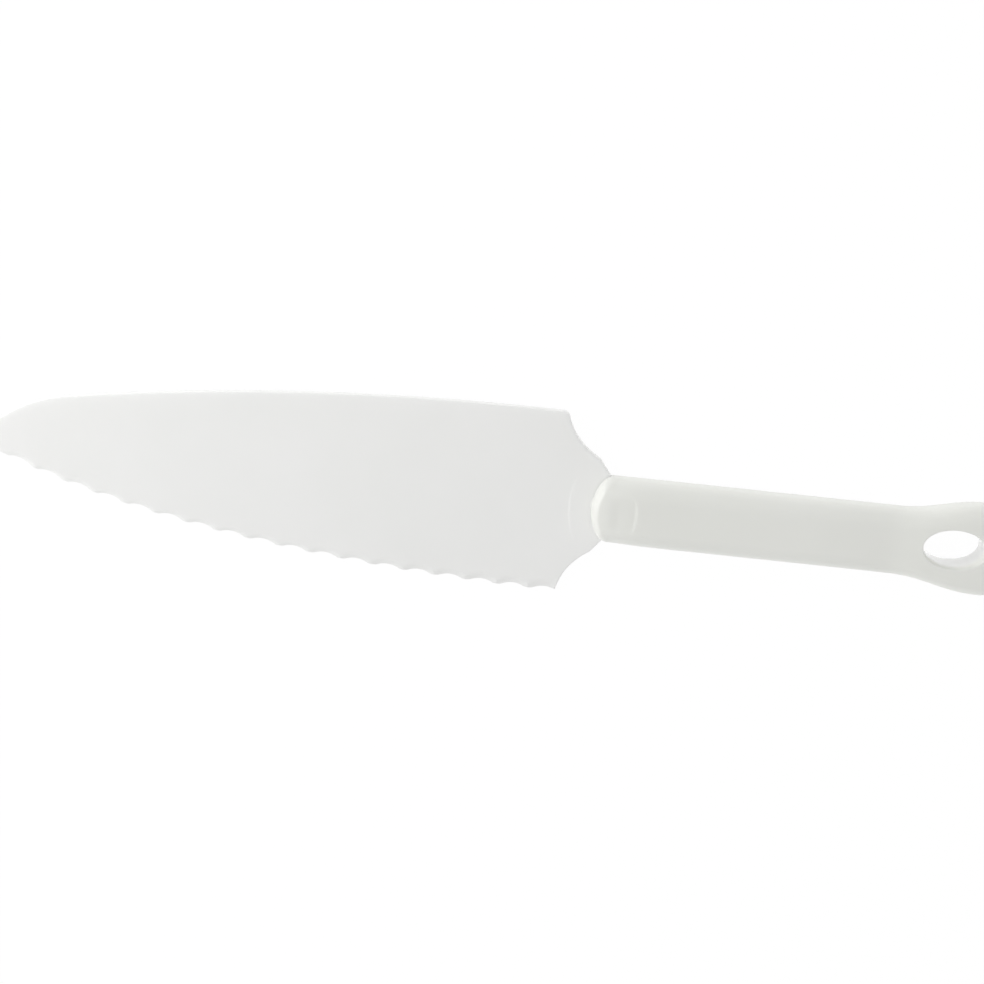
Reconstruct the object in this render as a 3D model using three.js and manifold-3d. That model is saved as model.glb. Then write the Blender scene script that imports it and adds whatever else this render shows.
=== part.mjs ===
// A plastic cake knife: a scalloped blade whose tang is trapped in a hollow handle with a back cover.
// Sizes are in millimetres. The knife lies on its flat back, the plane z = 0, with its good face up.
// +X runs to the end of the handle, +Y to the spine of the blade and +Z up.
// The origin is under the middle of the handle's front, where the blade enters the handle.

import * as THREE from "three";
import { mergeVertices } from "three/addons/utils/BufferGeometryUtils.js";
import Module from "manifold-3d";

// Fit and fineness
const CLEARANCE = 0.3; // gap between neighbouring pieces
const CURVE_STEPS = 12; // steps in each curve of an outline
const ROUND_STEPS = 6; // steps across a rounded edge
const TURN_STEPS = 48; // steps round a full circle
const OVERSHOOT = 1; // how far a cutter runs past what it cuts

// Blade
const BLADE_LENGTH = 173; // from the handle's front to the tip
const BLADE_WIDTH = 52.6; // across the heel
const SPINE_THICKNESS = 2.4; // along the spine and under the handle
const EDGE_THICKNESS = 1.2; // where the tapered face meets the cutting edge
const TIP_RISE = 1; // the tip lies this far above the handle's axis
const TIP_ROUND = 2.5; // how far the rounding reaches back from the tip
const SPINE_STRAIGHT = 12; // straight stretch of the spine from the heel
const NOSE_LENGTH = 25.5; // the nose, where the spine turns down to the tip
const NOSE_DROP = 10.7; // how far the spine has dropped where the nose starts
const NOSE_TURN = 12; // from the tip back to the middle of the nose's bend
const EDGE_FLAT = 26; // how long the cutting edge keeps the line of the heel
const EDGE_SWEEP = 60; // how long it keeps the line that it has at the tip
const EDGE_ANGLE = THREE.MathUtils.degToRad(25); // between that line and the handle's axis
const SPINE_HEEL_SETBACK = 8.7; // from the handle's front to the upper corner of the heel
const EDGE_HEEL_SETBACK = 7; // from the handle's front to the lower corner of the heel
const HEEL_ROUND = 1.6; // rounding of both corners

// Scallops of the cutting edge
const SCALLOP_PITCH = 8.95;
const SCALLOP_DEPTH = 0.9;
const CREST_WIDTH = 2.2; // width left between two scallops
const FIRST_CREST = 7.6; // from the lower corner of the heel to the first crest
const PLAIN_TIP = 6; // stretch beside the tip with no scallops
const FLUTE_ANGLE = THREE.MathUtils.degToRad(28); // slope of a scallop's hollow up to the face

// Neck and root pad of the blade
const NECK_HALF_WIDTH = 13.6; // where the shoulders end
const NECK_START = 1.5; // behind the handle's front
const NECK_SLOPE = 1.3; // narrowing on each side, per length
const SHOULDER_DIP = 1.6; // how far a shoulder bows in towards the neck
const PAD_FRONT = 6.1; // the pad reaches this far in front of the handle
const PAD_RADIUS = 25; // of its bowed front edge

// Handle
const HANDLE_LENGTH = 120;
const HANDLE_HEIGHT = 9.4;
const GRIP_WIDTH = 18.9;
const FRONT_RADIUS = 13.8; // bow of the front end
const TOP_RADIUS = 5; // rounding of the upper edge
const BACK_RADIUS = 1.2; // rounding of the lower edge
const CORNER_SPARE = 0.3; // the front corners are rounder than the upper edge by this
const PADDLE_WIDTH = 25.9;
const PADDLE_CAP = 9.5; // length of the rounded end, behind the widest place
const FLARE_LENGTH = 19.5; // from the straight grip to the widest place
const FLARE_EASE = 8.5; // the last stretch of the flare, where it levels out
const SIDE_WALL = 2.8;
const TOP_WALL = 2.2;

// Thumb dish in the top of the handle
const DISH_MIDDLE = 9.2;
const DISH_LENGTH = 7.2;
const DISH_WIDTH = 12.6;
const DISH_DEPTH = 0.6;

// Hang hole and the collar that lines it
const HOLE_SETBACK = 18.9; // from its middle to the end of the handle
const HOLE_LENGTH = 18.4;
const HOLE_WIDTH = 11;
const HOLE_LIP = 1.3;
const COLLAR_WALL = 2.2;

// Back cover, tang and pegs
const COVER_THICKNESS = 1.8;
const COVER_RIM = 1.8; // width of the handle's rim beside the cover
const COVER_FRONT = 12;
const TANG_GAP = 18; // free length between the tang and the collar
const PEG_RADIUS = 1.5;
const BOSS_RADIUS = 2.9; // shoulder of a peg, which holds the tang down
const BOSS_HEIGHT = 1.8;
const PEG_POCKET = 1; // depth of the cover's pocket for a peg
const PEG_MARGIN = 12; // from the outer pegs to the ends of the tang's bare stretch
const PEG_COUNT = 2;

// Finishes
const BLADE_FINISH = { color: 0xeaeae7, roughness: 0.42, metalness: 0 };
const HANDLE_FINISH = { color: 0xdcddd6, roughness: 0.45, metalness: 0 };

// Sizes that follow from the ones above
const BLADE_HALF = BLADE_WIDTH / 2;
const GRIP_HALF = GRIP_WIDTH / 2;
const PADDLE_HALF = PADDLE_WIDTH / 2;
const CORNER_RADIUS = TOP_RADIUS + CORNER_SPARE;
const PADDLE_WIDEST = HANDLE_LENGTH - PADDLE_CAP;
const FLARE_START = PADDLE_WIDEST - FLARE_LENGTH;
const HOLE_MIDDLE = HANDLE_LENGTH - HOLE_SETBACK;
const HOLE_STRETCH = HOLE_LENGTH / HOLE_WIDTH;
const COLLAR_HALF_LENGTH = (HOLE_WIDTH / 2 + COLLAR_WALL) * HOLE_STRETCH;
const CEILING = HANDLE_HEIGHT - TOP_WALL;
const MOUTH_HEIGHT = SPINE_THICKNESS + CLEARANCE;
const LEDGE_HEIGHT = COVER_THICKNESS + CLEARANCE;
const TANG_TOP = CEILING - BOSS_HEIGHT - CLEARANCE;
const TANG_INSET = SIDE_WALL + CLEARANCE;
const ROOT_HALF = GRIP_HALF - TANG_INSET;
const ROOT_START = NECK_START + (NECK_HALF_WIDTH - ROOT_HALF) / NECK_SLOPE;
const ROOT_END = COVER_FRONT - CLEARANCE;
const TANG_END = HOLE_MIDDLE - COLLAR_HALF_LENGTH - TANG_GAP;
const PEG_SPAN = TANG_END - COVER_FRONT - 2 * PEG_MARGIN;
const PEG_PLACES = Array.from(
  { length: PEG_COUNT },
  (_, index) => COVER_FRONT + PEG_MARGIN + (PEG_SPAN * index) / (PEG_COUNT - 1)
);

const wasm = await Module();
wasm.setup();

// A solid made from a closed three.js geometry, without the slivers that meet on an axis.
function solidFrom(geometry) {
  geometry.deleteAttribute("normal");
  geometry.deleteAttribute("uv");
  const merged = mergeVertices(geometry);
  const corners = merged.index.array;
  const triangles = [];
  for (let i = 0; i < corners.length; i += 3) {
    const [a, b, c] = corners.slice(i, i + 3);
    if (a !== b && b !== c && c !== a) {
      triangles.push(a, b, c);
    }
  }
  return new wasm.Manifold(
    new wasm.Mesh({
      numProp: 3,
      vertProperties: merged.attributes.position.array,
      triVerts: Uint32Array.from(triangles),
    })
  );
}

// A named mesh made from a solid.
function meshFrom(name, solid, finish) {
  const { vertProperties, triVerts } = solid.getMesh();
  const geometry = new THREE.BufferGeometry();
  geometry.setAttribute("position", new THREE.BufferAttribute(vertProperties, 3));
  geometry.setIndex(new THREE.BufferAttribute(triVerts, 1));
  geometry.computeVertexNormals();
  const mesh = new THREE.Mesh(geometry, new THREE.MeshStandardMaterial(finish));
  mesh.name = name;
  return mesh;
}

// An outline raised straight up from one height to another.
function prism(shape, bottom, top) {
  const options = { depth: top - bottom, bevelEnabled: false, curveSegments: CURVE_STEPS };
  return solidFrom(new THREE.ExtrudeGeometry(shape, options).translate(0, 0, bottom));
}

// The same with its upper and lower edges rounded.
function roundedPrism(shape, bottom, top, radius) {
  const options = {
    depth: top - bottom - 2 * radius,
    bevelThickness: radius,
    bevelSize: radius,
    bevelOffset: -radius,
    bevelSegments: ROUND_STEPS,
    curveSegments: CURVE_STEPS,
  };
  return solidFrom(new THREE.ExtrudeGeometry(shape, options).translate(0, 0, bottom + radius));
}

// An upright round bar.
function bar(x, radius, bottom, top) {
  const geometry = new THREE.CylinderGeometry(radius, radius, top - bottom, TURN_STEPS);
  return solidFrom(geometry.rotateX(Math.PI / 2).translate(x, 0, (top + bottom) / 2));
}

// A turned form about an upright axis on the centre line, drawn out along X.
function turned(profile, x, stretch) {
  const points = profile.map(([radius, z]) => new THREE.Vector2(radius, z));
  const geometry = new THREE.LatheGeometry(points, TURN_STEPS);
  return solidFrom(geometry.rotateX(Math.PI / 2).scale(stretch, 1, 1).translate(x, 0, 0));
}

// The cutting edge, as it was before the scallops were cut, from the heel to the tip.
function cuttingEdge() {
  const heel = new THREE.Vector2(-EDGE_HEEL_SETBACK, -BLADE_HALF);
  const tip = new THREE.Vector2(-BLADE_LENGTH, TIP_RISE);
  const line = new THREE.Vector2(Math.cos(EDGE_ANGLE), -Math.sin(EDGE_ANGLE));
  return new THREE.CubicBezierCurve(
    heel,
    heel.clone().add(new THREE.Vector2(-EDGE_FLAT, 0)),
    tip.clone().addScaledVector(line, EDGE_SWEEP),
    tip.clone().addScaledVector(line, TIP_ROUND)
  );
}

// The upper outline of the blade, from the heel along the spine and round the nose to the tip.
function traceSpine(shape) {
  const heelX = -SPINE_HEEL_SETBACK;
  const bendX = heelX - SPINE_STRAIGHT;
  const nose = new THREE.Vector2(NOSE_LENGTH - BLADE_LENGTH, BLADE_HALF - NOSE_DROP);
  const slope = (2 * NOSE_DROP) / (bendX - nose.x);
  const tip = new THREE.Vector2(-BLADE_LENGTH, TIP_RISE);
  const turnX = NOSE_TURN - BLADE_LENGTH;
  const turn = new THREE.Vector2(turnX, nose.y - slope * (nose.x - turnX));
  const end = tip.clone().addScaledVector(turn.clone().sub(tip).normalize(), TIP_ROUND);
  const edgeStart = cuttingEdge().v3;
  shape.quadraticCurveTo(heelX, BLADE_HALF, heelX - HEEL_ROUND, BLADE_HALF);
  shape.lineTo(bendX, BLADE_HALF);
  shape.quadraticCurveTo((bendX + nose.x) / 2, BLADE_HALF, nose.x, nose.y);
  shape.quadraticCurveTo(turn.x, turn.y, end.x, end.y);
  shape.quadraticCurveTo(tip.x, tip.y, edgeStart.x, edgeStart.y);
}

// One hollow shoulder between a corner of the heel and the neck: its corner end and its middle control.
function shoulder(setback, side) {
  const neck = new THREE.Vector2(NECK_START, side * NECK_HALF_WIDTH);
  const corner = new THREE.Vector2(-setback, side * BLADE_HALF);
  const along = neck.clone().sub(corner).normalize();
  const inward = new THREE.Vector2(side * along.y, -side * along.x).normalize();
  const control = corner.clone().add(neck).multiplyScalar(0.5).addScaledVector(inward, 2 * SHOULDER_DIP);
  const start = corner.clone().addScaledVector(control.clone().sub(corner).normalize(), HEEL_ROUND);
  return { neck, corner, control, start };
}

// The flat outline of the blade, its shoulders and its neck, as far back as the root.
function plateShape() {
  const edge = cuttingEdge();
  const low = shoulder(EDGE_HEEL_SETBACK, -1);
  const high = shoulder(SPINE_HEEL_SETBACK, 1);
  const shape = new THREE.Shape();
  shape.moveTo(edge.v3.x, edge.v3.y);
  shape.bezierCurveTo(edge.v2.x, edge.v2.y, edge.v1.x, edge.v1.y, edge.v0.x - HEEL_ROUND, edge.v0.y);
  shape.quadraticCurveTo(low.corner.x, low.corner.y, low.start.x, low.start.y);
  shape.quadraticCurveTo(low.control.x, low.control.y, low.neck.x, low.neck.y);
  shape.lineTo(ROOT_START, -ROOT_HALF);
  shape.lineTo(ROOT_END, -ROOT_HALF);
  shape.lineTo(ROOT_END, ROOT_HALF);
  shape.lineTo(ROOT_START, ROOT_HALF);
  shape.lineTo(high.neck.x, high.neck.y);
  shape.quadraticCurveTo(high.control.x, high.control.y, high.start.x, high.start.y);
  traceSpine(shape);
  return shape;
}

// What is taken off the blade's face, so that it thins from the spine to the edge in front of the pad.
function faceCut() {
  const wide = BLADE_HALF + OVERSHOOT;
  const above = SPINE_THICKNESS + OVERSHOOT;
  const front = -BLADE_LENGTH - OVERSHOOT;
  const padMiddle = PAD_RADIUS - PAD_FRONT;
  const rise = (SPINE_THICKNESS - EDGE_THICKNESS) / BLADE_WIDTH;
  const section = new THREE.Shape();
  section.moveTo(-wide, EDGE_THICKNESS - rise * OVERSHOOT);
  section.lineTo(wide, SPINE_THICKNESS + rise * OVERSHOOT);
  section.lineTo(wide, above);
  section.lineTo(-wide, above);
  const wedge = new THREE.ExtrudeGeometry(section, { depth: padMiddle - front, bevelEnabled: false });
  wedge.rotateY(Math.PI / 2).rotateX(Math.PI / 2).translate(front, 0, 0);
  return solidFrom(wedge).subtract(bar(padMiddle, PAD_RADIUS, 0, above + OVERSHOOT));
}

// The hollows that scallop the cutting edge: leaning bars, one for each scallop.
function flutes() {
  const edge = cuttingEdge();
  const length = edge.getLength();
  const chord = SCALLOP_PITCH - CREST_WIDTH;
  const radius = (chord * chord) / (8 * SCALLOP_DEPTH) + SCALLOP_DEPTH / 2;
  const height = SPINE_THICKNESS + 2 * OVERSHOOT;
  const lean = new THREE.Matrix4().makeShear(0, 0, 0, 0, 1 / Math.tan(FLUTE_ANGLE), 0);
  const count = Math.floor((length - PLAIN_TIP - FIRST_CREST) / SCALLOP_PITCH) + 1;
  const bars = [];
  for (let index = 0; index < count; index += 1) {
    const share = (FIRST_CREST + (index - 0.5) * SCALLOP_PITCH) / length;
    const place = edge.getPointAt(share);
    const along = edge.getTangentAt(share);
    const inward = Math.atan2(-along.x, along.y);
    const geometry = new THREE.CylinderGeometry(radius, radius, height, TURN_STEPS);
    geometry.rotateX(Math.PI / 2).translate(0, 0, height / 2 - OVERSHOOT);
    geometry.applyMatrix4(lean).translate(SCALLOP_DEPTH - radius, 0, 0);
    geometry.rotateZ(inward).translate(place.x, place.y, 0);
    bars.push(solidFrom(geometry));
  }
  return bars;
}

// The front end of the handle's outline at an inset, from its upper side round to its lower side.
// The bow is drawn in two halves, so that each of its steps turns less than a step of the corners.
function traceFront(path, inset) {
  const corner = CORNER_RADIUS - inset;
  const bow = FRONT_RADIUS - inset;
  const y = GRIP_HALF - inset - corner;
  const x = FRONT_RADIUS - Math.sqrt((bow - corner) ** 2 - y ** 2);
  const angle = Math.atan2(y, FRONT_RADIUS - x);
  path.absarc(x, y, corner, Math.PI / 2, Math.PI - angle, false);
  path.absarc(FRONT_RADIUS, 0, bow, Math.PI - angle, Math.PI, false);
  path.absarc(FRONT_RADIUS, 0, bow, Math.PI, Math.PI + angle, false);
  path.absarc(x, -y, corner, Math.PI + angle, (3 * Math.PI) / 2, false);
}

// The sides, flare and butt of the handle's outline at an inset, from one end of the sides to the other.
function traceButt(path, start, inset) {
  const grip = GRIP_HALF - inset;
  const paddle = PADDLE_HALF - inset;
  const flare = PADDLE_WIDEST - FLARE_EASE;
  const cap = HANDLE_LENGTH - PADDLE_WIDEST - inset;
  path.moveTo(start, -grip);
  path.lineTo(FLARE_START, -grip);
  path.quadraticCurveTo(flare, -paddle, PADDLE_WIDEST, -paddle);
  path.absellipse(PADDLE_WIDEST, 0, cap, paddle, -Math.PI / 2, Math.PI / 2, false, 0);
  path.quadraticCurveTo(flare, paddle, FLARE_START, grip);
  path.lineTo(start, grip);
}

// The whole outline of the handle at an inset.
function handleShape(inset) {
  const shape = new THREE.Shape();
  traceButt(shape, FRONT_RADIUS, inset);
  traceFront(shape, inset);
  return shape;
}

// The tang or its root: the front of the handle's hollow, less the clearance, up to a straight end.
function tangShape(end) {
  const shape = new THREE.Shape();
  shape.moveTo(end, -ROOT_HALF);
  shape.lineTo(end, ROOT_HALF);
  traceFront(shape, TANG_INSET);
  return shape;
}

// The part of the handle's outline that the back cover fills, at an inset, from a straight front edge.
function coverShape(front, inset) {
  const shape = new THREE.Shape();
  traceButt(shape, front, inset);
  return shape;
}

// The way in for the blade's neck, wider than the neck by the clearance all round.
function mouthShape() {
  const half = ROOT_HALF + CLEARANCE;
  const widened = CLEARANCE * Math.hypot(1, NECK_SLOPE);
  const narrowEnd = ROOT_START + (widened - CLEARANCE) / NECK_SLOPE;
  const wide = half + NECK_SLOPE * (narrowEnd + OVERSHOOT);
  const shape = new THREE.Shape();
  shape.moveTo(-OVERSHOOT, -wide);
  shape.lineTo(narrowEnd, -half);
  shape.lineTo(ROOT_END, -half);
  shape.lineTo(ROOT_END, half);
  shape.lineTo(narrowEnd, half);
  shape.lineTo(-OVERSHOOT, wide);
  return shape;
}

// The outline of the hang hole, widened by a margin on its short axis and in proportion on its long one.
function holeShape(margin) {
  const half = HOLE_WIDTH / 2 + margin;
  const shape = new THREE.Shape();
  shape.absellipse(HOLE_MIDDLE, 0, half * HOLE_STRETCH, half, 0, 2 * Math.PI, false, 0);
  return shape;
}

// The hang hole with its rounded lips, as a cutter.
function holeCut() {
  const half = HOLE_WIDTH / 2;
  const lip = [];
  for (let step = 0; step <= ROUND_STEPS; step += 1) {
    const angle = ((Math.PI / 2) * step) / ROUND_STEPS;
    lip.push([half + HOLE_LIP * (1 - Math.sin(angle)), HOLE_LIP * (1 - Math.cos(angle))]);
  }
  const upper = lip.map(([radius, z]) => [radius, HANDLE_HEIGHT - z]).reverse();
  const below = [[0, -OVERSHOOT], [half + HOLE_LIP, -OVERSHOOT]];
  const above = [[half + HOLE_LIP, HANDLE_HEIGHT + OVERSHOOT], [0, HANDLE_HEIGHT + OVERSHOOT]];
  return turned([...below, ...lip, ...upper, ...above], HOLE_MIDDLE, HOLE_STRETCH);
}

// The thumb dish, as a cutter: a shallow round hollow drawn out across the handle.
function dishCut() {
  const half = DISH_WIDTH / 2;
  const radius = (half * half) / (2 * DISH_DEPTH) + DISH_DEPTH / 2;
  const sweep = Math.asin(half / radius);
  const floor = HANDLE_HEIGHT - DISH_DEPTH;
  const profile = [];
  for (let step = 0; step <= ROUND_STEPS; step += 1) {
    const angle = (sweep * step) / ROUND_STEPS;
    profile.push([radius * Math.sin(angle), floor + radius * (1 - Math.cos(angle))]);
  }
  profile.push([half, HANDLE_HEIGHT + OVERSHOOT], [0, HANDLE_HEIGHT + OVERSHOOT]);
  return turned(profile, DISH_MIDDLE, DISH_LENGTH / DISH_WIDTH);
}

// The blade with its neck, root and tang.
function makeBlade() {
  let blade = prism(plateShape(), 0, SPINE_THICKNESS).subtract(faceCut());
  for (const flute of flutes()) {
    blade = blade.subtract(flute);
  }
  blade = blade.add(prism(tangShape(ROOT_END), 0, TANG_TOP));
  blade = blade.add(prism(tangShape(TANG_END), LEDGE_HEIGHT, TANG_TOP));
  for (const x of PEG_PLACES) {
    blade = blade.subtract(bar(x, PEG_RADIUS + CLEARANCE, 0, HANDLE_HEIGHT));
  }
  return meshFrom("blade", blade, BLADE_FINISH);
}

// The handle's body: a rounded tub, open at the back, with pegs for the tang and a collar for the hole.
function makeHandleBody() {
  const outline = handleShape(0);
  const upper = roundedPrism(outline, -2 * TOP_RADIUS, HANDLE_HEIGHT, TOP_RADIUS);
  const lower = roundedPrism(outline, 0, HANDLE_HEIGHT + 2 * TOP_RADIUS, BACK_RADIUS);
  const cavity = prism(handleShape(SIDE_WALL), -OVERSHOOT, CEILING);
  const rebate = prism(coverShape(ROOT_END, COVER_RIM), -OVERSHOOT, LEDGE_HEIGHT);
  const collar = prism(holeShape(COLLAR_WALL), -2 * OVERSHOOT, HANDLE_HEIGHT);
  let body = upper.intersect(lower);
  body = body.subtract(cavity.add(rebate).subtract(collar));
  body = body.subtract(prism(mouthShape(), -OVERSHOOT, MOUTH_HEIGHT));
  for (const x of PEG_PLACES) {
    body = body.add(bar(x, BOSS_RADIUS, TANG_TOP + CLEARANCE, CEILING + TOP_WALL / 2));
    body = body.add(bar(x, PEG_RADIUS, COVER_THICKNESS - PEG_POCKET + CLEARANCE, CEILING));
  }
  body = body.subtract(holeCut()).subtract(dishCut());
  return meshFrom("handle_body", body, HANDLE_FINISH);
}

// The cover that closes the back of the handle, with a pocket for each peg.
function makeBackCover() {
  let cover = prism(coverShape(COVER_FRONT, COVER_RIM + CLEARANCE), 0, COVER_THICKNESS);
  cover = cover.subtract(prism(holeShape(COLLAR_WALL + CLEARANCE), -OVERSHOOT, HANDLE_HEIGHT));
  for (const x of PEG_PLACES) {
    cover = cover.subtract(bar(x, PEG_RADIUS + CLEARANCE, COVER_THICKNESS - PEG_POCKET, HANDLE_HEIGHT));
  }
  return meshFrom("handle_back_cover", cover, HANDLE_FINISH);
}

const knife = new THREE.Group();
knife.add(makeBlade(), makeHandleBody(), makeBackCover());

export default knife;
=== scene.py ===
"""Looks of a white plastic cake knife that lies on a white studio floor.

Sizes are in millimetres. Edges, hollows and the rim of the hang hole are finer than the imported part's.
+X runs to the end of the handle, +Y to the spine of the blade and +Z up.
"""

import math

import bmesh
import bpy
from mathutils import Matrix, Vector
from mathutils.geometry import delaunay_2d_cdt, intersect_point_line


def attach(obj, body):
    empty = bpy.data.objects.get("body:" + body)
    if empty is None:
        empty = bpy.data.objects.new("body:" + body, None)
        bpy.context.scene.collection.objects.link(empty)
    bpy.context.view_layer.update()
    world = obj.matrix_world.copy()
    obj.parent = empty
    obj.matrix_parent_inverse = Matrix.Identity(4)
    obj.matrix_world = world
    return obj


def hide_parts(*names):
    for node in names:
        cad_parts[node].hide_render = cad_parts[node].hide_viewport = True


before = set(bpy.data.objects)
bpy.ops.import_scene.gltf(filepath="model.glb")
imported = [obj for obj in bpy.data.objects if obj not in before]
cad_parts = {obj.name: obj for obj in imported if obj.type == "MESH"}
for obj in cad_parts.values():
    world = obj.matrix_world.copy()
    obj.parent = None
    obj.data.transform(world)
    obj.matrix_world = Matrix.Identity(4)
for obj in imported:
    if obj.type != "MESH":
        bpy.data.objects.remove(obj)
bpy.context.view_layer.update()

MM = 0.001

# Blade
BLADE_LENGTH = 173  # from the handle's front to the tip
BLADE_HALF = 26.3  # half its width across the heel
SPINE_THICKNESS = 2.4
EDGE_THICKNESS = 1.2  # where the tapered face meets the hollows of the cutting edge
TIP_RISE = 1  # the tip lies this far above the handle's axis
TIP_ROUND = 2.5  # how far the rounding reaches back from the tip
SPINE_STRAIGHT = 12  # straight stretch of the spine from the heel
NOSE_LENGTH = 25.5  # the nose, where the spine turns down to the tip
NOSE_DROP = 10.7  # how far the spine has dropped where the nose starts
NOSE_TURN = 12  # from the tip back to the middle of the nose's bend
EDGE_FLAT = 26  # how long the cutting edge keeps the line of the heel
EDGE_SWEEP = 60  # how long it keeps the line that it has at the tip
EDGE_ANGLE = math.radians(25)  # between that line and the handle's axis
SPINE_HEEL_SETBACK = 8.7  # from the handle's front to the upper corner of the heel
EDGE_HEEL_SETBACK = 7  # from the handle's front to the lower corner of the heel
HEEL_ROUND = 1.6  # rounding of the upper corner
POINT_ROUND = 0.35  # rounding of the sharp lower corner
EDGE_LAND = 0.65  # thickness of the cutting edge itself, at the heel
TIP_LAND = 1.45  # and at the tip
PLATE_ROUND = 0.35  # rounding of the blade's other edges
SPINE_EASE = 0.2  # how far the face falls off towards the spine
SPINE_EASE_WIDTH = 4

# Scallops of the cutting edge
SCALLOP_PITCH = 8.95
SCALLOP_DEPTH = 0.9
CREST_WIDTH = 2.2  # width left between two scallops
FIRST_CREST = 7.6  # from the lower corner of the heel to the first crest
PLAIN_TIP = 6  # stretch beside the tip with no scallops
FLUTE_ANGLE = math.radians(17)  # slope of a scallop's hollow up to the face
FLUTE_SOFTNESS = 0.15  # how softly a hollow runs out into the face

# Neck and root pad
NECK_HALF_WIDTH = 13.6  # where the shoulders end
NECK_START = 1.5  # behind the handle's front
NECK_SLOPE = 1.3  # narrowing on each side, per length
SHOULDER_DIP = 1.6  # how far a shoulder bows in towards the neck
PAD_FRONT = 6.1  # the pad reaches this far in front of the handle
PAD_RADIUS = 25  # of its bowed front edge
PAD_STEP = 0.12  # height of that edge, which fades out towards its ends
PAD_STEP_WIDTH = 0.7
PAD_EDGE_MIDDLE = -1.5  # the edge's middle, as a y
PAD_EDGE_HALF = 11  # from there to each end
PAD_RISE = 0.06  # rise of the pad towards the handle
PAD_REACH = 4.5  # where that rise starts, ahead of the handle
FOOT_REACH = 0.4  # fillet where the pad meets the handle

# Handle
HANDLE_LENGTH = 120
HANDLE_HEIGHT = 9.4
GRIP_HALF = 9.45  # half the width of the grip
FRONT_RADIUS = 13.8  # bow of the front end
TOP_RADIUS = 5  # width of the rounding along the upper edge
TOP_DEPTH = 4.2  # height of that rounding
FRONT_SETBACK = 0.4  # how far the bow lies behind the origin
FRONT_REACH = 2.4  # how far the steep front leans back
FRONT_EASE = 0.9  # how far the top falls off towards the front
FRONT_EASE_LENGTH = 11
BACK_RADIUS = 1.2  # rounding of the lower edge
CORNER_RADIUS = 3.5  # of the front corners, at the foot
CORNER_LEFT = 0.3  # what is left of it at the top
PADDLE_HALF = 12.95  # half the width of the flared end
PADDLE_WIDEST = 110.5  # where the flared end is widest
FLARE_START = 86  # where the straight grip ends
FLARE_LEAD = 9.5  # how long the flare keeps the line of the grip
FLARE_EASE = 11  # the last stretch of the flare, where it levels out
SIDE_WALL = 2.8
CEILING = 5.8  # top of the hollow inside
CAVITY_END = 84  # the butt behind it is solid
CROWN = 0.25  # how far the top falls off from the middle to the sides of the grip
SWELL = 0.9  # how far the grip's top lies under that of the butt
SWELL_START = 82
SWELL_LENGTH = 13

# Thumb dish
DISH_START = 4.6
DISH_END = 13.2
DISH_FRONT_BOW = 14  # radius of the bowed front slope
DISH_REAR_BOW = 14  # radius of the bowed rear wall
DISH_HALF_WIDTH = 5.6
DISH_DEPTH = 0.24
DISH_FLOOR = 0.4  # where its front slope ends, as a share of its length
DISH_WALL = 0.9  # where its rear wall starts, as a share of its length
DISH_FADE = 4  # how late it fades out towards its sides, as a power

# Hang hole
HOLE_MIDDLE = 101.15
HOLE_SIDE = 0.65  # how far it lies towards the spine's side
HOLE_LEAN = 0.5  # how far its lower end lies towards the blade
HOLE_HALF_LENGTH = 8.65
HOLE_HALF_WIDTH = 5.4
HOLE_LIP = 0.6  # width of its rounded upper rim
HOLE_LIP_DEPTH = 1.2  # height of that rim
HOLE_BACK_LIP = 0.6  # rounding at the back
HOLE_PAINTED_LIGHT_HEIGHT = 19  # how slowly the painted light on its wall fades upwards
HOLE_PAINTED_LIGHT_END = 1.02  # where the painted light ends, as a share of the hole with its rim
COLLAR_WALL = 2.2

# Back cover, tang and pegs
COVER_THICKNESS = 1.8
COVER_RIM = 1.8  # width of the handle's rim beside the cover
COVER_FRONT = 12
COVER_SEAM = 0.15  # seam round the cover
COVER_ROUND = 0.3
LEDGE_HEIGHT = 2.1
ROOT_END = 11.7
ROOT_HALF = 6.35
TANG_END = 70.2
TANG_TOP = 5.1
BOSS_BOTTOM = 5.4
BOSS_RADIUS = 2.9  # shoulder of a peg, which holds the tang down
PEG_RADIUS = 1.5
PEG_BOTTOM = 1.1
PEG_PLACES = (24, 58.2)
CLEARANCE = 0.3
FIT = 0.06  # gap where the blade enters the handle

# Fineness of the meshes: distances between points, and counts of steps
EDGE_STEP = 0.45
OUTLINE_STEP = 1.2
FRONT_STEP = 0.4
TIGHT_STEP = 0.3
NOSE_STEP = 0.8
SHOULDER_STEP = 0.6
GRID_STEP = 2.2
TOP_STEP = 1.1
TOP_MARGIN = 0.25  # free strip along the outline of the handle's top
PLATE_MARGIN = 0.6  # free strip along the rounded edge of the blade
LEAST_STEPS = 4  # in any curve
ROUND_STEPS = 12  # across the upper edge of the handle
RIM_STEPS = 12  # across the rim of the hang hole
LIP_STEPS = 6  # across its lip at the back
PLATE_STEPS = 6  # across the edge of the blade
BACK_STEPS = 4  # across the lower edge of the handle
COVER_STEPS = 3  # across the edge of the cover
CORNER_STEPS = 12  # round a front corner of the handle
BOW_STEPS = 24  # along its bowed front
CAP_STEPS = 40  # round its butt
PEG_STEPS = 24  # round a peg
TURN_STEPS = 72  # round other full circles
OVERSHOOT = 1  # how far a cutter runs past what it cuts
MERGE_GAP = 1e-4  # points closer than this become one
SLIVER = 1e-5  # edges shorter than this go
FLAT_GAP = 1e-7  # points of a sheet closer than this become one
SMOOTH_ANGLE = math.radians(32)  # steeper edges stay sharp

# Extra points over the hollows of the cutting edge
SPOT_REACH = 4.6  # how far they reach into the blade
SPOT_START = 0.6  # and how far at the ends of the edge
SPOT_TIP_SLOPE = 0.35  # how fast their reach grows from the tip
SPOT_HEEL_SLOPE = 0.8  # and from the heel
SPOT_ROWS = 12
SPOT_CROWDING = 1.4  # how much closer they lie towards the edge, as a power

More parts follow.
